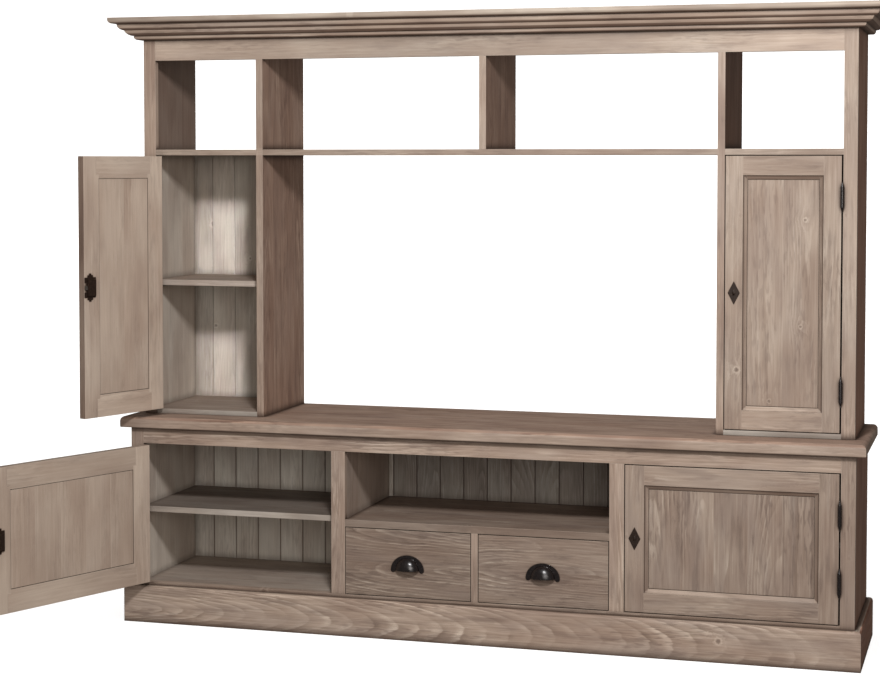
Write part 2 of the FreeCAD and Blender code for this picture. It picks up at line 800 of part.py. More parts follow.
def hinge_pin(centre):
    """A hinge pin with a turned finial at each end."""
    half, taper = size.barrel_length / 2, size.finial_length
    root, neck = size.finial_root_radius, size.finial_neck_radius
    parts = [upright("Cylinder", 0, 0, centre - half, Radius=size.hinge_pin_radius, Height=half * 2),
             upright("Cone", 0, 0, centre + half, Radius1=root, Radius2=neck, Height=taper),
             upright("Cone", 0, 0, centre - half - taper, Radius1=neck, Radius2=root, Height=taper)]
    for level in (centre + half + taper, centre - half - taper):
        parts.append(upright("Sphere", 0, 0, level, Radius=size.finial_tip_radius))
    return fuse(parts)


def door_hinges(door):
    """The two leaves on the door, and the frame's leaves and pins that they turn on."""
    centres = (door.foot + size.hinge_inset, door.head - size.hinge_inset)
    leaves = [hinge_leaf(door, centre, True) for centre in centres]
    door.hang(group(leaves, f"door_{door.name}_hinge_leaves"))
    fixed = [hinge_leaf(door, centre, False) for centre in centres]
    fixed += [hinge_pin(centre) for centre in centres]
    for piece in fixed:
        place(piece, door.axis_x, door.axis_y, 0)
    return fixed


def lock_plate(door, edge, span):
    """The back plate of a lock: stepped to a point at both ends, and notched where the bolt comes out."""
    centre = edge - size.lock_plate_width / 2
    parts = []
    rise = as_size(0)
    steps = ((size.lock_plate_width, size.lock_plate_height / 2),
             (size.lock_step_width, size.lock_step_height),
             (size.lock_tip_width, size.lock_tip_height))
    for width, height in steps:
        rise = rise + height
        parts.append(door.board((centre - width / 2, centre + width / 2), span,
                                (door.level - rise, door.level + rise)))
    half_notch = size.lock_notch_height / 2
    notch = door.board((edge - size.lock_notch_width, edge + size.overrun), span,
                       (door.level - half_notch, door.level + half_notch))
    return cut(fuse(parts), [notch])


def door_lock(door, keyhole):
    """The surface lock on the door's inside, its sliding bolt, and the escutcheon in front."""
    edge = door.end - size.lock_edge_inset
    centre = edge - size.lock_plate_width / 2
    plate_face = size.door_board + size.lock_plate_board
    plate = cut(lock_plate(door, edge, (size.door_board, plate_face)), [keyhole])
    half_width, half_height = size.lock_case_width / 2, size.lock_case_height / 2
    case = door.board((centre - half_width, centre + half_width),
                      (plate_face, plate_face + size.lock_case_depth),
                      (door.level - half_height, door.level + half_height))
    clear, half_bolt = size.bolt_clearance, size.bolt_height / 2
    channel = door.board((edge - size.bolt_length - clear, door.end + size.overrun),
                         (plate_face, plate_face + size.bolt_depth + clear * 2),
                         (door.level - half_bolt - clear, door.level + half_bolt + clear))
    bolt = door.board((edge - size.bolt_length, edge),
                      (plate_face + clear, plate_face + clear + size.bolt_depth),
                      (door.level - half_bolt, door.level + half_bolt))
    lock = fuse([plate, cut(case, [channel])])
    door.hang(group([lock, escutcheon(door, keyhole)], f"door_{door.name}_lock"))
    door.hang(group([bolt], f"door_{door.name}_bolt"))


def escutcheon(door, keyhole):
    """The bevelled diamond plate on the door's front face, with an oval boss round the keyhole."""
    x, y, z = door.x(door.lock_u), size.barrel_offset, door.level
    half_width, half_height = size.escutcheon_width / 2, size.escutcheon_height / 2
    outline = [point(x - half_width, y, z), point(x, y, z - half_height),
               point(x + half_width, y, z), point(x, y, z + half_height)]
    solid = prism(outline, point(0, -size.escutcheon_board, 0))
    front = (size.barrel_offset - size.escutcheon_board).value
    rim = [edge for edge in solid.Edges if all(near(vertex.Point.y, front) for vertex in edge.Vertexes)]
    plate = solid_feature(solid.makeChamfer(size.escutcheon_bevel.value, rim))

    rise = size.escutcheon_board + size.keyhole_boss_rise
    oval = upright("Ellipsoid", x, y, z, Radius1=size.keyhole_boss_height / 2,
                   Radius2=size.keyhole_boss_width / 2, Radius3=rise)
    in_front = board((x - half_width, x + half_width), (y - rise, y), (z - half_height, z + half_height))
    return cut(fuse([plate, common(oval, in_front)]), [keyhole])


def doors():
    """All four doors, with their hinges and locks."""
    upper_widths = (size.upper_stile_width, size.upper_rail_width)
    lower_widths = (size.lower_stile_width, size.lower_rail_width)
    fixed = []
    for name, side in (("left", -1), ("right", 1)):
        stands_open = side < 0
        hung = (
            Door(f"upper_{name}", side, (hutch_stile_edge, divider_outer), hutch_front,
                 (cabinet_floor, middle_shelf_underside), upper_widths, UPPER_DOOR_ANGLE * stands_open),
            Door(f"lower_{name}", side, (base_stile_edge, lower_opening_edge), frame_front,
                 (size.bottom_rail_top, top_rail_underside), lower_widths, LOWER_DOOR_ANGLE * stands_open),
        )
        for door in hung:
            keyhole = keyhole_tool(door)
            door_frame(door, keyhole)
            door_panel(door)
            fixed += door_hinges(door)
            door_lock(door, keyhole)
    group(fixed, "hinge_frame_leaves")


def pull_foot():
    """The level of a pull's open lower edge, which centres the whole pull on the drawer's front."""
    lobe = size.pull_side_margin / 2
    middle = (size.bottom_rail_top + niche_shelf_underside) / 2
    return middle + (lobe - size.pull_height - size.pull_top_margin) / 2


def cup_dome(centre, half_width, reach, height):
    """An ellipsoid round the middle of a pull's lower edge."""
    return upright("Ellipsoid", centre, frame_front, pull_foot(),
                   Radius1=height, Radius2=half_width, Radius3=reach)


def cup_pull(centre, screws, name):
    """A hooded pull that is open below, with an arched flange and two posts that take its screws."""
    foot, half, height = pull_foot(), size.pull_width / 2, size.pull_height
    wall, margin, lobe = size.pull_wall, size.pull_side_margin, size.pull_side_margin / 2
    width = (centre - half - margin, centre + half + margin)
    levels = (foot, foot + height + size.pull_top_margin)
    hood_span = (frame_front - size.pull_reach, frame_front)
    flange_span = (frame_front - size.pull_flange_board, frame_front)

    hood = common(cup_dome(centre, half, size.pull_reach, height), board(width, hood_span, levels))
    arch = common(cup_dome(centre, half + margin, size.pull_reach, height + size.pull_top_margin),
                  board(width, flange_span, levels))
    lobes = [lying(lobe, flange_span, centre + (half + lobe) * side, foot, "y") for side in (-1, 1)]
    posts = [lying(size.pull_post_radius, hood_span, x, foot + size.pull_screw_rise, "y")
             for x in pull_screw_places(centre)]
    hollow = cut(cup_dome(centre, half - wall, size.pull_reach - wall, height - wall), posts)
    node(cut(fuse([hood, arch] + lobes), [hollow] + screws), name)


def pull_screw_places(centre):
    """Where a pull's two screws stand across the drawer."""
    return [centre + size.pull_screw_spacing / 2 * side for side in (-1, 1)]


def pull_screws(centre):
    """The two screws of a pull, driven from inside the drawer."""
    level = pull_foot() + size.pull_screw_rise
    shank_span = (frame_front - size.pull_screw_bite, frame_back)
    head_span = (frame_back, frame_back + size.pull_screw_head_height)
    return [fuse([lying(size.pull_screw_radius, shank_span, x, level, "y"),
                  lying(size.pull_screw_head_radius, head_span, x, level, "y")])
            for x in pull_screw_places(centre)]


def drawer(name, side):
    """One drawer: its front with the cup pull, and the box that runs on the runners."""
    inner, outer = drawer_stile_half * side, niche_half * side
    gap, wall = size.drawer_gap * side, size.drawer_side_board * side
    centre = (inner + outer) / 2
    foot = size.base_floor_level + size.runner_height + size.runner_clearance
    head = foot + size.drawer_box_height
    box_back = back_face - size.drawer_back_gap
    depth = (frame_back, box_back)
    faces = (inner + size.drawer_side_gap * side, outer - size.drawer_side_gap * side)

    underside = foot + size.drawer_bottom_rise
    top_face = underside + size.drawer_bottom_board
    groove = (size.drawer_side_board - size.drawer_groove_depth) * side
    bottom = board((faces[0] + groove, faces[1] - groove), (frame_back - size.drawer_groove_depth, box_back),
                   (underside, top_face))
    walls = [board((faces[0], faces[0] + wall), depth, (foot, head)),
             board((faces[1] - wall, faces[1]), depth, (foot, head))]
    back = board((faces[0] + wall, faces[1] - wall), (box_back - size.drawer_side_board, box_back),
                 (top_face, head - size.drawer_back_drop))
    front = board((inner + gap, outer - gap), (frame_front, frame_back),
                  (size.bottom_rail_top + size.drawer_gap, niche_shelf_underside - size.drawer_gap))
    screws = pull_screws(centre)
    node(cut(front, [bottom] + screws), f"drawer_{name}_front")
    group([cut(panel, [bottom]) for panel in walls] + [back], f"drawer_{name}_box")
    node(bottom, f"drawer_{name}_bottom")
    cup_pull(centre, screws, f"drawer_{name}_cup_pull")
    group(screws, f"drawer_{name}_pull_screws")


def drawer_runners():
    """The four strips that the drawers' sides run on."""
    depth = (frame_back, back_face)
    levels = (size.base_floor_level, size.base_floor_level + size.runner_height)
    strips = both_sides((drawer_stile_half, drawer_stile_half + size.runner_width), depth, levels)
    strips += both_sides((niche_half - size.runner_width, niche_half), depth, levels)
    group(strips, "drawer_runners")


def finish():
    """Check every object and write each sub-part to its own file."""
    document.recompute()
    for item in document.Objects:
        if any(word in item.State for word in ("Invalid", "Error")):
            raise RuntimeError(f"{item.Label} is {item.State}")
    for item in nodes:
        if item.Shape.isNull() or not item.Shape.isValid():
            raise RuntimeError(f"{item.Label} has no valid shape")
    os.makedirs("parts", exist_ok=True)
    for item in nodes:
        item.Shape.exportStep(f"parts/{item.Label}.step")


plinth()
drilled = shelf_pins()
base_carcass(drilled)
base_face_frame()
top_board()
hutch_carcass(drilled)
cornice()
doors()
drawer("left", -1)
drawer("right", 1)
drawer_runners()
finish()
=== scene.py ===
import json
import math
import random
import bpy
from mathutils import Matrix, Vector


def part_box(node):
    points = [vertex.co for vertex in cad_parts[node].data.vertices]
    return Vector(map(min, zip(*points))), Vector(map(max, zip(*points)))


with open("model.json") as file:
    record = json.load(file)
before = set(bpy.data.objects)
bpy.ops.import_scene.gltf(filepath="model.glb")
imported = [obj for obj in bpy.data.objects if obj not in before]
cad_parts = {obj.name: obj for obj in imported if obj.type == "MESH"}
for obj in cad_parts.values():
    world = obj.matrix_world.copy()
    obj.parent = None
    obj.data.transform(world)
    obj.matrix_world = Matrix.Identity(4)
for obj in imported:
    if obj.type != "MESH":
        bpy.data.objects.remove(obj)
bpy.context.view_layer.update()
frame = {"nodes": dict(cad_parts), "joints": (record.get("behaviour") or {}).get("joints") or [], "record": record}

from fnmatch import fnmatch

import bpy
import numpy as np
from mathutils import Matrix, Vector

NODES = frame["nodes"]

# The camera stands to the right of the middle and looks a little down. Its place is in metres, its turns
# are in radians, its lens and sensor in millimetres, and its shift is a share of the picture's width.
CAMERA_PLACE = (1.56797, -5.94409, 1.46646)
CAMERA_TURN_LEFT = 0.28495
CAMERA_TILT_DOWN = 0.04487
CAMERA_LENS = 80.698
CAMERA_SENSOR = 36.0
CAMERA_SHIFT = -0.10

# The floor turns up into a wall behind the cabinet, along an arc of this radius.
FLOOR_REACH = 40.0
WALL_DISTANCE = 5.0
WALL_RADIUS = 2.5
WALL_HEIGHT = 12.0
WALL_ARC_STEPS = 16

# The floor's two pale tints, and the noise that mixes them: its rate for a metre, octaves and roughness.
FLOOR_TINTS = ((0.86, 0.86, 0.86, 1), (0.90, 0.90, 0.90, 1))
FLOOR_NOISE = (0.8, 2.0, 0.5)
FLOOR_ROUGHNESS = 0.9

# The light from all round, and the place that the floor's two suns shine from. The first sun's spread is
# in radians.
WHITE = (1.0, 1.0, 1.0)
SOFT_LIGHT = (1.0, 0.90, 0.82, 1)
SOFT_LIGHT_STRENGTH = 0.175
SUN_PLACE = (0, -6, 6)
SUN_SPREAD = 1.4

# Boards whose grain doesn't run along their longest side.
GRAIN_ALONG = {
    "drawer_divider": "z",
    "cabinet_bottoms": "x",
    "door_upper_left_panel": "z",
    "door_upper_right_panel": "z",
    "door_lower_left_panel": "z",
    "door_lower_right_panel": "z",
}

# The pieces of paler and greyer wood, and those that form the cabinet's back.
INSIDE_NODES = (
    "base_bottom_panel", "base_partitions", "bay_shelves", "base_back_boards", "base_sides",
    "plinth_back_rail", "plinth_centre_rail", "hutch_sides", "cabinet_bottoms", "cabinet_shelves",
    "cabinet_back_boards", "drawer_runners", "drawer_left_box", "drawer_left_bottom", "drawer_right_box",
    "drawer_right_bottom",
)
BACK_NODES = ("base_back_boards", "cabinet_back_boards", "plinth_back_rail", "plinth_returns")

# The upper cabinets' walls are pale inside up to the middle shelf, on the faces that look this way, and above it
# they have painted shadow.
CABINET_WALLS = {"hutch_sides": "inward", "hutch_dividers": "outward"}

# A board is pale up to a height above its own foot, and has painted shadow above that. This one is above every
# board, so it is pale all over.
NO_PALE_END = 9.0

# How far the doors' panels lie behind their frames, how far back the crown's lip and the frames' first step
# reach, and half the niche's width.
RECESS_DEPTH = 0.008
LIP_DEPTH = 0.006
STEP_DEPTH = 0.002
NICHE_HALF_WIDTH = 0.415

# How much of a face's normal has to point one way for the face to look that way.
SLIGHTLY = 0.3
MOSTLY = 0.5
STEEPLY = 0.72
SQUARELY = 0.9
HARDLY = 0.1

# How much brighter these pieces are painted from their middles to their ends: painted light that makes up for the
# key lamp lighting their middles most.
PALE_ENDS = {"hutch_frieze_rail": 0.60, "cornice": 0.15}

# Wood that differs from the rest: the pieces and the way their faces look, then their brightness, brown stain
# and strength of figure. Some rows paint light and shade instead, as the comments among them say.
FINISHES_AND_SHADING = (
    ("drawer_left_front", "any", 0.66, 0.10, 1.9),
    ("drawer_right_front", "any", 0.77, 0.10, 1.9),
    ("base_top_board", "up", 1.04, 0.28, 1.0),
    ("base_top_board", "front", 0.90, 0.10, 1.3),
    ("base_*_rail", "any", 1.10, 0.03, 1.5),
    ("plinth_front", "any", 1.03, 0.05, 1.7),
    ("cornice", "any", 1.09, -0.04, 0.8),
    ("cornice", "lip", 0.90, -0.14, 0.7),
    # Painted shade under the crown's members.
    ("cornice", "under", 0.46, 0.40, 1.0),
    ("hutch_frieze_rail", "any", 0.92, -0.13, 0.8),
    ("hutch_middle_shelves", "any", 0.80, 0.05, 1.0),
    ("niche_shelf", "up", 0.80, 0.10, 1.0),
    ("niche_shelf", "front", 0.65, 0.12, 1.0),
    ("hutch_stiles", "left", 1.00, 0.12, 0.7),
    ("hutch_stiles", "right", 1.12, -0.07, 0.9),
    ("base_inner_stiles", "any", 1.05, 0.05, 1.3),
    ("base_outer_stiles", "right", 0.78, 0.10, 0.9),
    # The brown on the dividers' inward faces is painted warm light, bounced from the wood around them.
    ("hutch_dividers", "inward", 0.91, 0.38, 1.0),
    ("hutch_dividers", "outward", 1.55, 0.15, 0.7),
    ("hutch_dividers", "front", 0.85, 0.10, 1.0),
    # The centre divider's brown is the same painted bounce light.
    ("hutch_centre_divider", "along", 0.94, 0.40, 1.0),
    ("hutch_sides", "outward", 1.04, 1.05, 0.9),
    ("base_sides", "outward", 0.80, 1.15, 0.9),
    ("*_sides", "inward", 1.32, 0.04, 0.6),
    ("base_partitions", "inward", 0.95, 0.30, 0.9),
    ("base_partitions", "outward", 1.15, 0.00, 0.6),
    ("plinth_returns", "outward", 0.78, 1.05, 1.0),
    ("cabinet_back_boards", "front", 1.28, -0.14, 0.9),
    ("cabinet_bottoms", "up", 0.98, 0.30, 0.9),
    ("cabinet_shelves", "up", 0.92, 0.35, 0.9),
    ("cabinet_shelves", "front", 0.92, 0.20, 0.9),
    # Painted light and shade in the base's openings: the niche's back darker, the bays' backs lighter, and the
    # boards' grooves and edges darker.
    ("base_back_boards", "front middle", 0.70, 0.00, 1.6),
    ("base_back_boards", "front ends", 1.48, -0.12, 0.9),
    ("base_back_boards", "along", 0.60, 0.20, 1.0),
    ("base_back_boards", "groove", 0.60, 0.20, 1.0),
    ("base_bottom_panel", "any", 1.03, 0.20, 1.0),
    # Painted shadow on the tops of the bay shelves.
    ("bay_shelves", "up", 0.57, 0.25, 1.0),
    ("bay_shelves", "front", 1.10, 0.05, 1.0),
    ("door_*_frame", "back", 1.27, -0.13, 0.4),
    ("door_*_panel", "back", 1.24, -0.09, 0.35),
    ("door_*_left_frame", "along", 0.68, 0.22, 0.8),
    # The right doors' edges are painted lighter: painted light in the gaps beside them.
    ("door_*_right_frame", "along", 1.30, 0.10, 0.8),
    ("door_*_frame", "front", 0.98, 0.00, 0.9),
    # Painted light and shade on the frames' recesses: the step dark, and each bevel darker or lighter by the way
    # it faces the key lamp.
    ("door_*_frame", "step", 0.30, 0.60, 1.0),
    ("door_*_frame", "bevel down", 0.72, 0.20, 1.0),
    ("door_*_frame", "bevel left", 0.70, 0.15, 1.0),
    ("door_*_frame", "bevel right", 0.88, 0.08, 1.0),
    ("door_*_frame", "bevel up", 1.15, 0.00, 1.0),
    ("door_upper_right_frame", "front", 1.05, -0.05, 0.9),
    ("door_upper_right_panel", "front", 1.02, -0.02, 0.6),
    ("door_lower_right_frame", "any", 0.95, 0.02, 1.1),
    ("door_lower_right_panel", "any", 0.88, 0.02, 1.2),
)

# The pine's tones as they look on a screen. The dark glaze tone darkens the knots, and also paints shade into
# corners and the doors' recesses.
OUTSIDE_TONES = {
    "middle": (166, 146, 131), "light": (202, 185, 169), "dark": (122, 104, 89), "cool": (153, 137, 127),
    "smudge": (114, 97, 88), "worn": (198, 182, 167), "glaze_and_shade": (66, 49, 39),
}
INSIDE_TONES = {
    "middle": (168, 158, 147), "light": (198, 189, 180), "dark": (130, 119, 108), "cool": (158, 150, 142),
    "smudge": (128, 118, 110), "worn": (190, 180, 169), "glaze_and_shade": (72, 60, 51),
}
# The brown that the stain mixes in, also used for painted shade and painted shadow.
BROWN_STAIN_AND_SHADE = (0.95, 0.62, 0.50, 1)

# The pine's sizes in metres. A wide board is glued up from strips.
STRIP_WIDTH = 0.105
STRIP_MARGIN = 1e-6
RING_WIDTH = 0.0078
HEART_ASIDE = (-0.055, 0.055)
HEART_BEHIND = (0.018, 0.078)
RING_WAVE = (-0.03, 0.03)
RING_JITTER = (-0.0015, 0.0015)
KNOT_RADIUS = (0.003, 0.009)
KNOT_PULL_REACH = 0.022
KNOT_PULL = 0.009
EDGE_RADIUS = 0.0022
CORNER_REACH = 0.030
BUMP_HEIGHT = 0.0006

# Shares and counts of the pine.
KNOTS_A_METRE = 2.6
KNOT_RAGGEDNESS = (0.2, 1.8)
HEART_SLOPE = (-0.06, 0.06)
RING_STRENGTH = (0.15, 1.0)
LATE_WOOD_SHARE = 0.55
EARLY_WOOD_SHARE = 0.80
HALO_SHARE = 0.55
KNOT_SHARE = 0.50
WEAR_SHARE = 0.70
STRIP_BRIGHTNESS = (0.96, 1.04)
BOARD_BRIGHTNESS = (0.94, 1.06)
# Painted shadow above a board's pale end: its brightness below and above, and how much browner it is there.
PAINTED_SHADOW_BRIGHTNESS = (1.0, 0.46)
PAINTED_SHADOW_BROWN = 0.5
BUMP_STRENGTH = 0.30
LATE_WOOD_BUMP = 0.6
STREAK_BUMP = 0.5
PINE_GLOSS = 0.32

# What the boards' chance values grow from, how far apart they set two strips in the patterns, and what
# makes two more keys of a board's own value.
BOARD_SEED = 7
SHIFT_ALONG = 40.0
SHIFT_ASIDE = 9.0
KEY_SPREAD = (53.0, 17.0)

# The patterns: their rates of change for a metre along and across the grain, their octaves and roughness.
NOISES = {
    "knot edge": (130.0, 130.0, 3.0, 0.7),
    "wave": (1.6, 5.0, 3.0, 0.55),
    "jitter": (11.0, 70.0, 2.0, 0.5),
    "patches": (2.6, 12.0, 4.0, 0.6),
    "streaks": (6.0, 190.0, 3.0, 0.6),
    "cool": (3.1, 11.0, 3.0, 0.6),
    "smudges": (6.0, 38.0, 3.0, 0.55),
    "dashes": (22.0, 140.0, 1.0, 0.5),
    "drift": (3.4, 8.0, 2.0, 0.5),
}

# Smooth steps from one value to another: where each begins and ends, and its value there.
STEPS = {
    "knot chance": (0.55, 0.59, 0.0, 1.0),
    "knot figure": (0.45, 0.65, 0.0, 1.0),
    "knot": (0.6, 1.25, 1.0, 0.0),
    "halo inside": (1.1, 1.5, 0.0, 1.0),
    "halo outside": (1.6, 2.4, 1.0, 0.0),
    "ring patches": (0.38, 0.62, 0.12, 1.0),
    "late wood": (0.0, 0.42, 1.0, 0.0),
    "early wood": (0.45, 0.86, 0.0, 1.0),
    "early wood end": (0.92, 1.0, 1.0, 0.0),
    "dark streaks": (0.46, 0.76, 0.0, 0.40),
    "light streaks": (0.48, 0.26, 0.0, 0.36),
    "cool patches": (0.42, 0.66, 0.0, 0.5),
    "dark smudges": (0.50, 0.70, 0.0, 1.0),
    "light smudges": (0.46, 0.32, 0.0, 0.38),
    "dashes": (0.50, 0.62, 0.0, 1.0),
    "dash patches": (0.46, 0.58, 0.0, 1.0),
    "glue line": (0.0004, 0.0018, 0.30, 0.0),
    "glue line patches": (0.40, 0.55, 0.0, 1.0),
    "brightness drift": (0.30, 0.70, 0.86, 1.14),
    "stain drift": (0.36, 0.64, 0.10, -0.08),
    "edge": (0.985, 0.88, 0.0, 1.0),
    "edge wear": (0.30, 0.62, 0.25, 0.95),
    "open edge": (0.80, 0.96, 0.0, 1.0),
    # The corner steps darken corners with glaze and painted shade; the recess step paints shade into the doors'
    # recesses.
    "corner": (0.50, 0.96, 1.0, 0.0),
    "deep corner": (0.06, 0.36, 0.30, 1.0),
    "recess": (0.40, 0.80, 0.0, 0.80),
    "pine roughness": (0.2, 0.8, 0.52, 0.72),
    "metal edge": (0.99, 0.88, 0.0, 0.5),
    "metal mottle": (0.45, 0.75, 0.0, 0.35),
    "metal roughness": (0.3, 0.7, 0.0, 0.14),
}

# The metals' patterns: their rate of change for a metre, their octaves and roughness.
MOTTLE = (240.0, 4.0, 0.6)
BLOTCH = (60.0, 3.0, 0.5)
METAL_EDGE_RADIUS = 0.0006
METAL_BUMP_STRENGTH = 0.10
METAL_BUMP_HEIGHT = 0.0003

BEVEL_SAMPLES = 4
CORNER_SAMPLES = 8


def colour(red, green, blue):
    """A colour given as it looks on a screen, 0 to 255, turned into linear light."""
    def linear(value):
        share = value / 255
        return share / 12.92 if share <= 0.04045 else ((share + 0.055) / 1.055) ** 2.4
    return (linear(red), linear(green), linear(blue), 1.0)


class Tree:
    """The nodes of a material or of the world. Most calls add a node and return its output."""

    def __init__(self, owner):
        owner.use_nodes = True
        self.nodes = owner.node_tree.nodes
        self.links = owner.node_tree.links
        self.nodes.clear()

    def add(self, kind, settings=None, **inputs):
        node = self.nodes.new("ShaderNode" + kind)
        for name, value in (settings or {}).items():
            setattr(node, name, value)
        for name, value in inputs.items():
            self.feed(node.inputs[name.replace("_", " ")], value)
        return node

    def feed(self, socket, value):
        if isinstance(value, bpy.types.NodeSocket):
            self.links.new(value, socket)
        else:
            socket.default_value = value

    def math(self, operation, *values, clamp=False):
        node = self.add("Math", {"operation": operation, "use_clamp": clamp})
        for socket, value in zip(node.inputs, values):
            self.feed(socket, value)
        return node.outputs[0]

    def times(self, *values):
        product = values[0]
        for value in values[1:]:
            product = self.math("MULTIPLY", product, value)
        return product

    def between(self, share, limits):
        """The value at this share of the way from one limit to the other."""
        low, high = limits
        return self.math("MULTIPLY_ADD", share, high - low, low)

    def step(self, name, value, strength=1.0):
        """The value after the smooth step of this name, at this strength."""
        low, high, low_to, high_to = STEPS[name]
        settings = {"interpolation_type": "SMOOTHSTEP", "clamp": True}
        node = self.add("MapRange", settings, Value=value, From_Min=low, From_Max=high,
                        To_Min=low_to * strength, To_Max=high_to * strength)
        return node.outputs[0]

    def split(self, vector):
        return self.add("SeparateXYZ", Vector=vector).outputs[:3]

    def join(self, x, y, z):
        return self.add("CombineXYZ", X=x, Y=y, Z=z).outputs[0]

    def mix(self, share, first, second, kind="MIX", clamp=True):
        node = self.add("Mix", {"data_type": "RGBA", "blend_type": kind, "clamp_factor": clamp})
        factor, _, _, _, _, _, first_colour, second_colour = node.inputs[:8]
        self.feed(factor, share)
        self.feed(first_colour, first)
        self.feed(second_colour, second)
        return node.outputs[2]

    def noise(self, vector, scale, detail, roughness):
        return self.add("TexNoise", Vector=vector, Scale=scale, Detail=detail, Roughness=roughness).outputs[0]

    def chance(self, vector):
        return self.add("TexWhiteNoise", {"noise_dimensions": "3D"}, Vector=vector)

    def attribute(self, name):
        return self.split(self.add("Attribute", {"attribute_name": name}).outputs["Vector"])

    def rounded_edges(self, radius):
        """The normal with its edges rounded, and how little it turned from the face's own."""
        rounded = self.add("Bevel", {"samples": BEVEL_SAMPLES}, Radius=radius).outputs[0]
        turned = self.add("VectorMath", {"operation": "DOT_PRODUCT"})
        self.feed(turned.inputs[0], rounded)
        self.feed(turned.inputs[1], self.add("NewGeometry").outputs["Normal"])
        return rounded, turned.outputs["Value"]

    def show(self, kind, shader):
        self.links.new(shader.outputs[0], self.add(kind).inputs["Surface"])


class Pine(Tree):
    """Washed pine: rings cut by the board's faces, knots, cool patches, worn edges, and corners darkened with
    glaze and painted shade.
    """

    def __init__(self, name, tones, contrast, smudge_share, corner_share):
        self.material = bpy.data.materials.new(name)
        super().__init__(self.material)
        self.tones = {use: colour(*tone) for use, tone in tones.items()}
        self.contrast = contrast
        self.smudge_share = smudge_share
        self.find_place()
        self.find_knots()
        self.find_rings()
        self.colour_wood()
        self.add_smudges()
        self.show_knots()
        self.show_glue_lines()
        self.tone_stain_and_shade_piece()
        normal = self.wear_edges_and_shade_corners(corner_share)
        self.finish(normal)

    def tint(self, share, tone):
        """Mix a share of a tone into the colour so far."""
        self.base = self.mix(share, self.base, self.tones[tone])

    def place(self, name, through=None):
        """The place in the pattern of this name."""
        along_rate, across_rate, _, _ = NOISES[name]
        if through is None:
            through = self.times(self.depth, across_rate)
        return self.join(self.times(self.shifted, along_rate), self.times(self.side, across_rate), through)

    def pattern(self, name, through=None):
        _, _, octaves, roughness = NOISES[name]
        return self.noise(self.place(name, through), 1.0, octaves, roughness)

    def find_place(self):
        """Read the corner attributes, and find the strip of the board and the place in it."""
        self.along, across, self.depth = self.attribute("grain")
        self.seed, self.tone, self.strip_width = self.attribute("board")
        # The stain holds painted shade as well as stain, and above the pale end the board has painted shadow.
        self.stain, self.figure, self.pale_end = self.attribute("finish")
        # The wash holds painted shade for the doors' recesses, and painted light towards the ends of some pieces.
        self.recess, self.from_middle, _ = self.attribute("wash")
        self.calm = self.math("MINIMUM", self.figure, 1.0)
        self.strip = self.math("FLOOR", self.math("DIVIDE", across, self.strip_width))
        middle = self.times(self.math("ADD", self.strip, 0.5), self.strip_width)
        self.offset = self.math("SUBTRACT", across, middle)
        seeds = [self.times(self.seed, spread) for spread in KEY_SPREAD]
        self.chances = self.split(self.chance(self.join(self.strip, *seeds)).outputs["Color"])
        self.shifted = self.math("ADD", self.along, self.times(self.chances[0], SHIFT_ALONG))
        self.side = self.math("ADD", self.offset, self.times(self.chances[1], SHIFT_ASIDE))

    def find_knots(self):
        """Find the knots in the face's own plane, and how far they pull the rings."""
        face_place = self.join(self.shifted, self.side, 0.0)
        cells = self.add("TexVoronoi", {"voronoi_dimensions": "2D"}, Vector=face_place, Scale=KNOTS_A_METRE,
                         Randomness=1.0)
        ragged = self.between(self.pattern("knot edge", 0.0), KNOT_RAGGEDNESS)
        away = self.times(self.math("DIVIDE", cells.outputs["Distance"], KNOTS_A_METRE), ragged)
        chance, size, _ = self.split(cells.outputs["Color"])
        self.knots = self.times(self.step("knot chance", chance), self.step("knot figure", self.figure))
        self.from_knot = self.math("DIVIDE", away, self.between(size, KNOT_RADIUS))
        spread = self.math("POWER", self.math("DIVIDE", away, KNOT_PULL_REACH), 2.0)
        near = self.math("EXPONENT", self.times(spread, -1.0))
        self.pull = self.times(near, self.knots, KNOT_PULL)

    def find_rings(self):
        """Find the rings, round a heart that lies behind the face and slopes a little."""
        slope = self.times(self.between(self.chances[2], HEART_SLOPE), self.math("POWER", self.figure, 2.0))
        aside = self.math("SUBTRACT", self.offset, self.between(self.chances[0], HEART_ASIDE))
        aside = self.math("ADD", aside, self.between(self.pattern("wave"), RING_WAVE))
        behind = self.math("ADD", self.depth, self.between(self.chances[1], HEART_BEHIND))
        behind = self.math("ADD", behind, self.times(slope, self.along))
        squares = [self.math("POWER", length, 2.0) for length in (aside, behind)]
        radius = self.math("SUBTRACT", self.math("SQRT", self.math("ADD", *squares)), self.pull)
        radius = self.math("ADD", radius, self.between(self.pattern("jitter"), RING_JITTER))
        turns = self.math("DIVIDE", radius, RING_WIDTH)
        ring = self.chance(self.join(self.math("FLOOR", turns), self.strip, self.seed)).outputs["Value"]
        self.patches = self.pattern("patches")
        strength = self.times(self.between(ring, RING_STRENGTH), self.step("ring patches", self.patches))
        phase = self.math("FRACT", turns)
        self.late = self.times(self.step("late wood", phase), strength)
        self.early = self.times(self.step("early wood", phase), self.step("early wood end", phase), strength)

    def colour_wood(self):
        """Colour the rings, the fibres and the cool patches."""
        self.base = self.tones["middle"]
        self.tint(self.math("MULTIPLY", self.late, LATE_WOOD_SHARE * self.contrast, clamp=True), "dark")
        self.tint(self.math("MULTIPLY", self.early, EARLY_WOOD_SHARE * self.contrast, clamp=True), "light")
        self.streaks = self.pattern("streaks")
        self.tint(self.step("dark streaks", self.streaks, self.contrast), "dark")
        self.tint(self.step("light streaks", self.streaks, self.contrast), "light")
        self.base = self.mix(self.figure, self.tones["middle"], self.base, clamp=False)
        self.tint(self.times(self.step("cool patches", self.pattern("cool")), self.calm), "cool")

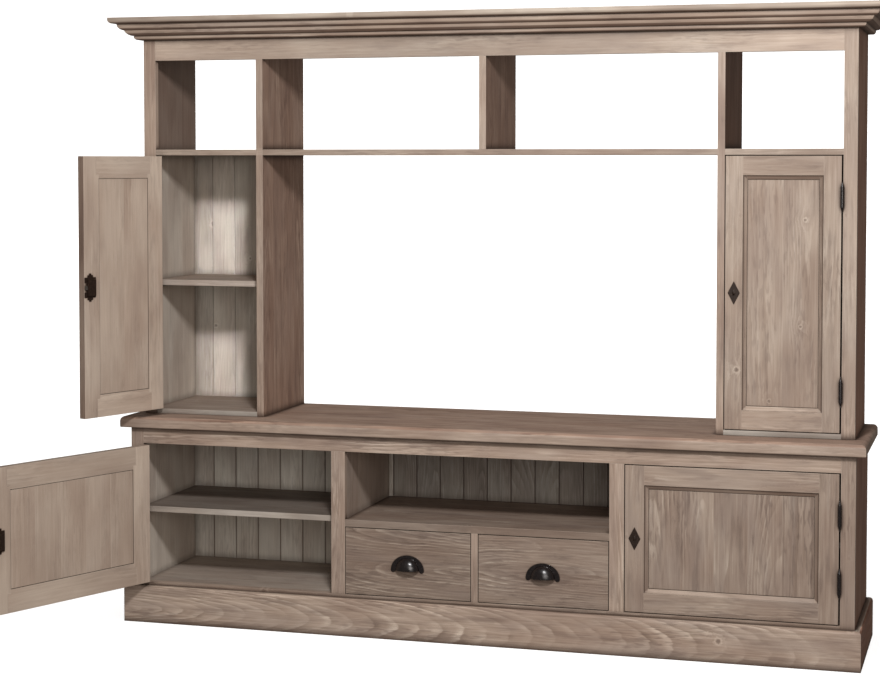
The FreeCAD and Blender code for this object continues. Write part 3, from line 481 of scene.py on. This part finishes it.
    def add_smudges(self):
        """Add dark and light smudges, and short dark dashes in patches."""
        self.smudges = self.pattern("smudges")
        self.tint(self.times(self.step("dark smudges", self.smudges, self.smudge_share), self.calm), "smudge")
        self.tint(self.times(self.step("light smudges", self.smudges, self.smudge_share), self.calm), "light")
        dashes = self.times(self.step("dashes", self.pattern("dashes")),
                            self.step("dash patches", self.patches, self.smudge_share))
        self.tint(self.times(dashes, self.calm), "smudge")

    def show_knots(self):
        """Colour each knot dark, with a pale halo."""
        halo = self.times(self.step("halo inside", self.from_knot), self.step("halo outside", self.from_knot))
        self.tint(self.times(halo, self.knots, HALO_SHARE), "light")
        self.tint(self.times(self.step("knot", self.from_knot), self.knots, KNOT_SHARE), "glaze_and_shade")

    def show_glue_lines(self):
        """Show pale lines where a wide board's strips meet."""
        rim = self.math("SUBTRACT", self.times(self.strip_width, 0.5), self.math("ABSOLUTE", self.offset))
        line = self.times(self.step("glue line", rim), self.step("glue line patches", self.patches))
        self.tint(line, "light")

    def tone_stain_and_shade_piece(self):
        """Give the piece its own brightness and stain, which drift along it, with painted shadow above its pale
        end and painted light towards the ends of some pieces.
        """
        drift = self.pattern("drift", self.chances[0])
        # Above the pale end the board is painted darker and browner: painted shadow.
        above = self.math("GREATER_THAN", self.along, self.pale_end)
        # The brightness holds the finish table's painted light and shade, and painted light towards the ends of
        # some pieces.
        brightness = self.times(self.tone, self.between(self.chances[2], STRIP_BRIGHTNESS),
                                self.between(above, PAINTED_SHADOW_BRIGHTNESS),
                                self.step("brightness drift", drift),
                                self.math("MULTIPLY_ADD", self.from_middle, self.from_middle, 1.0))
        scaled = self.add("VectorMath", {"operation": "SCALE"}, Vector=self.base, Scale=brightness)
        self.base = scaled.outputs[0]
        stain = self.math("MULTIPLY_ADD", above, PAINTED_SHADOW_BROWN, self.stain)
        stain = self.math("ADD", stain, self.step("stain drift", drift))
        self.base = self.mix(stain, self.base, BROWN_STAIN_AND_SHADE, "MULTIPLY", clamp=False)

    def wear_edges_and_shade_corners(self, corner_share):
        """Rub the edges pale, darken the corners with glaze and painted shade, and paint shade into the doors'
        recesses. It returns the rounded normal.
        """
        rounded, turned = self.rounded_edges(EDGE_RADIUS)
        around = self.add("AmbientOcclusion", {"samples": CORNER_SAMPLES}, Distance=CORNER_REACH)
        open_air = around.outputs["AO"]
        edge = self.times(self.step("edge", turned), self.step("edge wear", self.smudges),
                          self.step("open edge", open_air))
        self.tint(self.times(edge, WEAR_SHARE), "worn")
        # Corners that the open air hardly reaches are darkened: partly glaze, partly painted shade.
        corner = self.times(self.step("corner", open_air), self.step("deep corner", open_air))
        self.tint(self.times(corner, corner_share), "glaze_and_shade")
        # Painted shade along the outer edge of the doors' sloping recesses.
        self.tint(self.step("recess", self.recess), "glaze_and_shade")
        return rounded

    def finish(self, normal):
        """Add the bump and the gloss of a matt wash."""
        height = self.math("MULTIPLY_ADD", self.late, LATE_WOOD_BUMP, self.times(self.streaks, STREAK_BUMP))
        bump = self.add("Bump", Strength=BUMP_STRENGTH, Distance=BUMP_HEIGHT, Height=height, Normal=normal)
        self.show("OutputMaterial", self.add("BsdfPrincipled", Base_Color=self.base, Normal=bump.outputs[0],
                                             Roughness=self.step("pine roughness", self.streaks),
                                             Specular_IOR_Level=PINE_GLOSS))


def metal(name, base, worn, roughness, bare, gloss):
    """Dark iron or dull steel, a little mottled, and brighter where hands rub its edges.

    The share that is bare metal shines in its own colour, and the rest like a coating of this gloss.
    """
    material = bpy.data.materials.new(name)
    tree = Tree(material)
    place = tree.add("TexCoord").outputs["Object"]
    mottle = tree.noise(place, *MOTTLE)
    blotch = tree.noise(place, *BLOTCH)
    rounded, turned = tree.rounded_edges(METAL_EDGE_RADIUS)
    surface = tree.mix(tree.times(tree.step("metal edge", turned), blotch), colour(*base), colour(*worn))
    surface = tree.mix(tree.step("metal mottle", mottle), surface, colour(*worn))
    bump = tree.add("Bump", Strength=METAL_BUMP_STRENGTH, Distance=METAL_BUMP_HEIGHT, Height=mottle,
                    Normal=rounded)
    rough = tree.math("ADD", tree.step("metal roughness", blotch), roughness)
    tree.show("OutputMaterial", tree.add("BsdfPrincipled", Base_Color=surface, Roughness=rough,
                                         Normal=bump.outputs[0], Metallic=bare, Specular_IOR_Level=gloss))
    return material


def door_turns():
    """For each open door, the turn that shuts it: the hinge's place and the angle still to go."""
    turns = {}
    for joint in frame["joints"]:
        if joint["type"] == "hinge" and joint["range_deg"][0] < 0:
            turns[joint["child"]] = (np.array(joint["pos_m"]), math.radians(joint["range_deg"][1]))
    return turns


def corner_keys(points):
    """One number for each place, so that corners that share a place share the number."""
    micrometres = np.round(points * 1e6).astype(np.int64)
    return np.unique(micrometres, axis=0, return_inverse=True)[1].ravel()


def solids_of(mesh, points):
    """The mesh's faces in runs, one run for each closed solid."""
    keys = corner_keys(points)
    open_edges, runs, start = set(), [], 0
    for polygon in mesh.polygons:
        corners = [int(keys[index]) for index in polygon.vertices]
        for first, second in zip(corners, corners[1:] + corners[:1]):
            if first != second:
                open_edges ^= {(min(first, second), max(first, second))}
        if not open_edges:
            runs.append((start, polygon.index + 1))
            start = polygon.index + 1
    return runs


def read(items, field, width, kind=np.float32):
    """A mesh's values as an array, one row for each item."""
    values = np.empty(len(items) * width, kind)
    items.foreach_get(field, values)
    return values.reshape(-1, width) if width > 1 else values


def faces_that_look(way, normals, centres):
    """Which faces look the given way or lie there. Outward is along X, away from the cabinet's middle."""
    right, back, up = normals.T
    side, depth = centres[:, 0], centres[:, 1]
    outward = right * np.sign(side)
    front = back < -MOSTLY
    in_niche = abs(side) < NICHE_HALF_WIDTH
    return {
        "any": np.full(len(normals), True),
        "outward": outward > MOSTLY,
        "inward": outward < -MOSTLY,
        "along": abs(outward) > SQUARELY,
        "front": front,
        "back": back > MOSTLY,
        "up": up > MOSTLY,
        "under": up < -STEEPLY,
        "lip": depth < LIP_DEPTH,
        "left": side < 0,
        "right": side > 0,
        "front middle": front & in_niche,
        "front ends": front & ~in_niche,
        "step": (abs(back) < HARDLY) & (depth < STEP_DEPTH),
        "groove": front & (abs(right) > SLIGHTLY),
        "bevel": front & ((abs(right) > SLIGHTLY) | (up < -SLIGHTLY)),
        "bevel down": front & (up < -SLIGHTLY),
        "bevel up": front & (up > SLIGHTLY),
        "bevel left": front & (right < -SLIGHTLY),
        "bevel right": front & (right > SLIGHTLY),
    }[way]


def face_finish_and_shade(name, normals, centres):
    """Each face's brightness, brown stain, strength of figure, and how far up its board it is pale before painted
    shadow. Some of the brightness and brown is painted light and shade.

    A face's centre is given by its place across and up, and by its depth behind the piece's front.
    """
    finish = np.array([[1.0, 0.0, 1.0, NO_PALE_END]] * len(normals))
    for pattern, way, brightness, stain, figure in FINISHES_AND_SHADING:
        if fnmatch(name, pattern):
            chosen = faces_that_look(way, normals, centres)
            finish[chosen, 0] *= brightness
            finish[chosen, 1] += stain
            finish[chosen, 2] *= figure
    # The upper cabinets' walls get painted shadow above the middle shelf.
    if name in CABINET_WALLS:
        chosen = faces_that_look(CABINET_WALLS[name], normals, centres)
        finish[chosen, 3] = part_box("hutch_middle_shelves")[1][2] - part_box(name)[0][2]
    return finish


def corner_painted_shade_and_light(name, corners, sloping, front):
    """Each corner's nearness to the front on a door's sloping recess, which sets painted shade there, and its
    place from the middle, which sets painted light towards the ends.
    """
    wash = np.zeros((len(corners), 3))
    if fnmatch(name, "door_*_frame"):
        nearness = np.clip(1 - (corners[:, 1] - front) / RECESS_DEPTH, 0, 1)
        wash[:, 0] = np.where(sloping, nearness, 0)
    if name in PALE_ENDS:
        wash[:, 1] = math.sqrt(PALE_ENDS[name]) * corners[:, 0] / corners[:, 0].max()
    return wash


def lay_grain(name, shut, dice):
    """Store what the pine's nodes read on each corner: its grain, its board, its finish and its wash, which carry
    painted light and shade as well.

    The grain is the place along, across and through the board. A door is laid as if it were shut.
    """
    mesh = NODES[name].data
    points = read(mesh.vertices, "co", 3).astype(float)
    normals = read(mesh.polygons, "normal", 3)
    centres = read(mesh.polygons, "center", 3)
    runs = solids_of(mesh, points)
    if shut:
        pivot, angle = shut
        turn = np.array(Matrix.Rotation(angle, 3, "Z"))
        points = (points - pivot) @ turn.T + pivot
        centres = (centres - pivot) @ turn.T + pivot
        normals = normals @ turn.T
    front = points[:, 1].min()
    centres[:, 1] -= front
    corner_count = read(mesh.polygons, "loop_total", 1, np.int32)
    corners = points[read(mesh.loops, "vertex_index", 1, np.int32)]
    finish = np.repeat(face_finish_and_shade(name, normals, centres), corner_count, axis=0)
    sloping = np.repeat(faces_that_look("bevel", normals, centres), corner_count)

    grain = np.zeros((len(corners), 3))
    board = np.zeros((len(corners), 3))
    for first, last in runs:
        start = mesh.polygons[first].loop_start
        end = mesh.polygons[last - 1].loop_start + mesh.polygons[last - 1].loop_total
        low, high = corners[start:end].min(0), corners[start:end].max(0)
        size = high - low
        along = "xyz".index(GRAIN_ALONG[name]) if name in GRAIN_ALONG else int(np.argmax(size))
        across, through = sorted((axis for axis in range(3) if axis != along), key=lambda axis: -size[axis])
        grain[start:end] = (corners[start:end] - low)[:, (along, across, through)]
        strips = max(1, round(size[across] / STRIP_WIDTH))
        seed, brightness = dice.random(), dice.uniform(*BOARD_BRIGHTNESS)
        board[start:end] = (seed, brightness, size[across] / strips + STRIP_MARGIN)
    # The finish table's brightness, painted light and shade among it, goes into each board's brightness.
    board[:, 1] *= finish[:, 0]
    stored = {"grain": grain, "board": board, "finish": finish[:, 1:],
              "wash": corner_painted_shade_and_light(name, corners, sloping, front)}
    for attribute, values in stored.items():
        layer = mesh.attributes.new(attribute, "FLOAT_VECTOR", "CORNER")
        layer.data.foreach_set("vector", values.ravel())


def dress(name, material):
    """Give a carried-over piece its finish."""
    mesh = NODES[name].data
    mesh.materials.clear()
    mesh.materials.append(material)


def dress_all():
    """Finish every piece of the frame."""
    # The corner share sets how much the corners are darkened with glaze and painted shade.
    outside = Pine("pine_outside", OUTSIDE_TONES, contrast=1.0, smudge_share=0.48, corner_share=0.9).material
    inside = Pine("pine_inside", INSIDE_TONES, contrast=0.85, smudge_share=0.35, corner_share=0.45).material
    iron = metal("dark_iron", base=(22, 16, 17), worn=(66, 54, 53), roughness=0.18, bare=0.25, gloss=0.8)
    lock_iron = metal("lock_iron", base=(40, 28, 22), worn=(92, 72, 58), roughness=0.42, bare=0.25,
                      gloss=0.3)
    steel = metal("steel", base=(120, 114, 108), worn=(170, 164, 158), roughness=0.34, bare=0.85, gloss=0.8)

    turns = door_turns()
    body_of = {member: body for body, members in frame["record"]["behaviour"]["bodies"].items()
               for member in members}
    slots = {part["node"]: part["material_slot"] for part in frame["record"]["subparts"]}
    dice = random.Random(BOARD_SEED)
    for name in sorted(NODES):
        if slots[name] == "dark_iron":
            dress(name, lock_iron if name.endswith("_lock") else iron)
        elif slots[name] == "steel":
            dress(name, steel)
        else:
            lay_grain(name, turns.get(body_of[name]), dice)
            dress(name, inside if name in INSIDE_NODES else outside)


def backdrop():
    """A pale floor that turns up into a wall behind the cabinet."""
    outline = [(-FLOOR_REACH, 0.0), (WALL_DISTANCE, 0.0)]
    for step in range(1, WALL_ARC_STEPS + 1):
        angle = math.pi / 2 * step / WALL_ARC_STEPS
        outline.append((WALL_DISTANCE + WALL_RADIUS * math.sin(angle), WALL_RADIUS * (1 - math.cos(angle))))
    outline.append((WALL_DISTANCE + WALL_RADIUS, WALL_HEIGHT))
    verts = [(x, y, z) for y, z in outline for x in (-FLOOR_REACH, FLOOR_REACH)]
    faces = [(2 * i, 2 * i + 1, 2 * i + 3, 2 * i + 2) for i in range(len(outline) - 1)]
    mesh = bpy.data.meshes.new("floor")
    mesh.from_pydata(verts, [], faces)
    for polygon in mesh.polygons:
        polygon.use_smooth = True

    material = bpy.data.materials.new("pale_floor")
    tree = Tree(material)
    pattern = tree.noise(tree.add("TexCoord").outputs["Object"], *FLOOR_NOISE)
    tree.show("OutputMaterial", tree.add("BsdfPrincipled", Base_Color=tree.mix(pattern, *FLOOR_TINTS),
                                         Roughness=FLOOR_ROUGHNESS))
    mesh.materials.append(material)

    floor = bpy.data.objects.new("floor", mesh)
    floor.visible_diffuse = False
    floor.visible_glossy = False
    bpy.context.scene.collection.objects.link(floor)
    return floor


def surroundings():
    """Soft light from all round, and white where the camera sees past the floor's edges."""
    world = bpy.data.worlds.new("studio")
    tree = Tree(world)
    around = tree.add("Background", Color=SOFT_LIGHT, Strength=SOFT_LIGHT_STRENGTH)
    beyond = tree.add("Background", Color=(*WHITE, 1), Strength=1.0)
    choice = tree.add("MixShader")
    seen = tree.add("LightPath").outputs["Is Camera Ray"]
    for socket, source in zip(choice.inputs, (seen, around.outputs[0], beyond.outputs[0])):
        tree.links.new(source, socket)
    tree.show("OutputWorld", choice)
    bpy.context.scene.world = world


def lamp(name, kind, place, aim, power, tint, lit, group):
    """A lamp at a place, turned to shine at a point, whose light falls on the lit things alone.

    The things that it doesn't light still cast its shadows.
    """
    holder = bpy.data.objects.new(name, bpy.data.lights.new(name, kind))
    holder.data.energy = power
    holder.data.color = tint
    holder.location = place
    holder.rotation_mode = "QUATERNION"
    holder.rotation_quaternion = (Vector(aim) - Vector(place)).to_track_quat("-Z", "Y")
    holder.visible_camera = False
    bpy.context.scene.collection.objects.link(holder)
    receivers = bpy.data.collections.new(group)
    for thing in lit:
        receivers.objects.link(thing)
    holder.light_linking.receiver_collection = receivers
    return holder.data


def disk(name, width, **settings):
    """A round lamp of this width."""
    data = lamp(name, "AREA", **settings)
    data.shape = "DISK"
    data.size = width


def lights(floor):
    """Two suns for the floor, a key and a fill for the cabinet, and a soft lamp for its back."""
    sun = {"kind": "SUN", "place": SUN_PLACE, "aim": (0, 0, 0), "tint": WHITE, "lit": [floor]}
    wash = lamp("floor_wash", power=2.2, group="only_floor", **sun)
    wash.angle = SUN_SPREAD
    even_wash = lamp("even_wash", power=3.4, group="floor_again", **sun)
    even_wash.use_shadow = False
    disk("key", width=0.42, place=(0.65, -2.75, 2.66), aim=(0.1, -0.1, 0.9), power=76.0, tint=WHITE,
         lit=NODES.values(), group="only_cabinet")
    disk("fill", width=2.6, place=(1.7, -5.3, 1.5), aim=(0.0, 0.0, 0.9), power=85.0, tint=(1.0, 0.96, 0.92),
         lit=NODES.values(), group="also_cabinet")
    disk("back_fill", width=2.4, place=(-0.4, 3.4, 2.6), aim=(0.0, 0.2, 0.9), power=60.0,
         tint=(1.0, 0.97, 0.94), lit=[NODES[name] for name in BACK_NODES], group="cabinet_back")


def camera():
    """The photograph's viewpoint. The framing is shifted down, so that uprights stay nearly parallel."""
    data = bpy.data.cameras.new("camera")
    data.lens = CAMERA_LENS
    data.sensor_width = CAMERA_SENSOR
    data.shift_y = CAMERA_SHIFT
    view = bpy.data.objects.new("camera", data)
    view.location = CAMERA_PLACE
    view.rotation_euler = (math.pi / 2 - CAMERA_TILT_DOWN, 0.0, CAMERA_TURN_LEFT)
    bpy.context.scene.collection.objects.link(view)
    bpy.context.scene.camera = view


dress_all()
surroundings()
lights(backdrop())
camera()
bpy.context.scene.view_settings.view_transform = "Standard"
